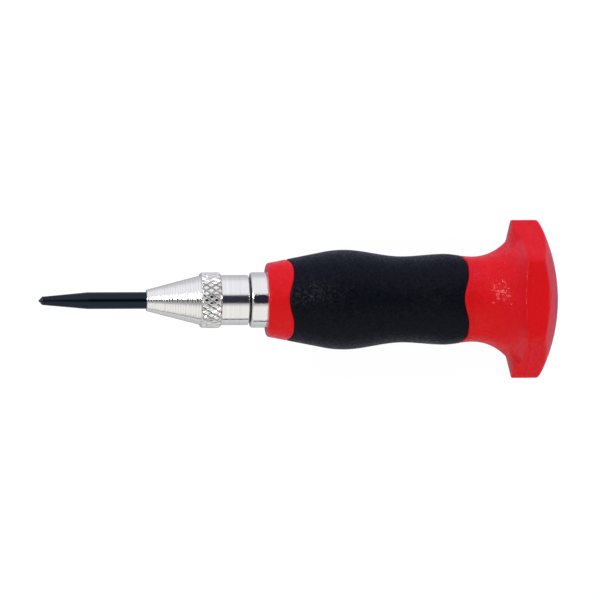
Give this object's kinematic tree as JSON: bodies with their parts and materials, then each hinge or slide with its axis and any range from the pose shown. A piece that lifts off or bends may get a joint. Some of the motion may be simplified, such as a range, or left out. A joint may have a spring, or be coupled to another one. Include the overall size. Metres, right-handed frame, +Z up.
{
  "type": "automatic center punch",
  "caption": "Spring-loaded automatic center punch with a black point, a steel nose with a knurled ring, and a red and black moulded handle with a domed six-sided palm.",
  "frame": {"origin": "on the floor under the middle of the tool, which lies on its side on one flat of the palm flange", "axes": "+X along the tool from the point to the palm, +Z up, square to the flat that it lies on"},
  "size_m": [0.13, 0.0396, 0.035],
  "materials": {
    "black_steel": "hardened steel with a black oxide finish",
    "plated_steel": "turned steel with bright nickel plating",
    "hard_steel": "ground hardened steel",
    "spring_steel": "drawn spring wire",
    "red_plastic": "moulded, finely textured and slightly glossy",
    "soft_grip": "soft second shot with a fine matt texture"
  },
  "bodies": {
    "handle": {"handle_core": "red_plastic", "grip_sleeve": "soft_grip", "ferrule": "plated_steel", "end_plug": "hard_steel"},
    "spring_seat": {"spring_seat": "hard_steel", "hammer_spring": "spring_steel"},
    "barrel": {"barrel": "plated_steel", "nose_cap": "plated_steel", "return_spring": "spring_steel"},
    "punch": {"punch_point": "black_steel"},
    "drive_pin": {"drive_pin": "hard_steel"},
    "hammer": {"hammer": "hard_steel"}
  },
  "joints": [
    {"name": "adjust_turn", "type": "hinge", "parent": "handle", "child": "spring_seat", "pos_m": [0.0464, 0, 0.0175], "axis": [1, 0, 0], "range_deg": [-1080, 144]},
    {"name": "adjust_travel", "type": "slide", "parent": "spring_seat", "child": "barrel", "axis": [1, 0, 0], "range_m": [-0.003, 0.0004]},
    {"name": "punch_slide", "type": "slide", "parent": "barrel", "child": "punch", "axis": [1, 0, 0], "range_m": [0, 0.0092], "stiffness_N_per_m": 400, "springref_m": -0.001, "deforming": ["return_spring"]},
    {"name": "pin_lean", "type": "hinge", "parent": "punch", "child": "drive_pin", "pos_m": [-0.026, 0, 0.0175], "axis": [0, 1, 0], "range_deg": [-1.2, 0]},
    {"name": "hammer_slide", "type": "slide", "parent": "barrel", "child": "hammer", "axis": [1, 0, 0], "range_m": [0, 0.0092], "stiffness_N_per_m": 8000, "springref_m": -0.0005, "deforming": ["hammer_spring"]}
  ],
  "couplings": [
    {"joint": "adjust_turn", "follows": "adjust_travel", "rad_per_m": 6283.2},
    {"joint": "pin_lean", "follows": "punch_slide", "rad_per_m": -2.2765},
    {"joint": "hammer_slide", "follows": "punch_slide", "ratio": 1}
  ]
}
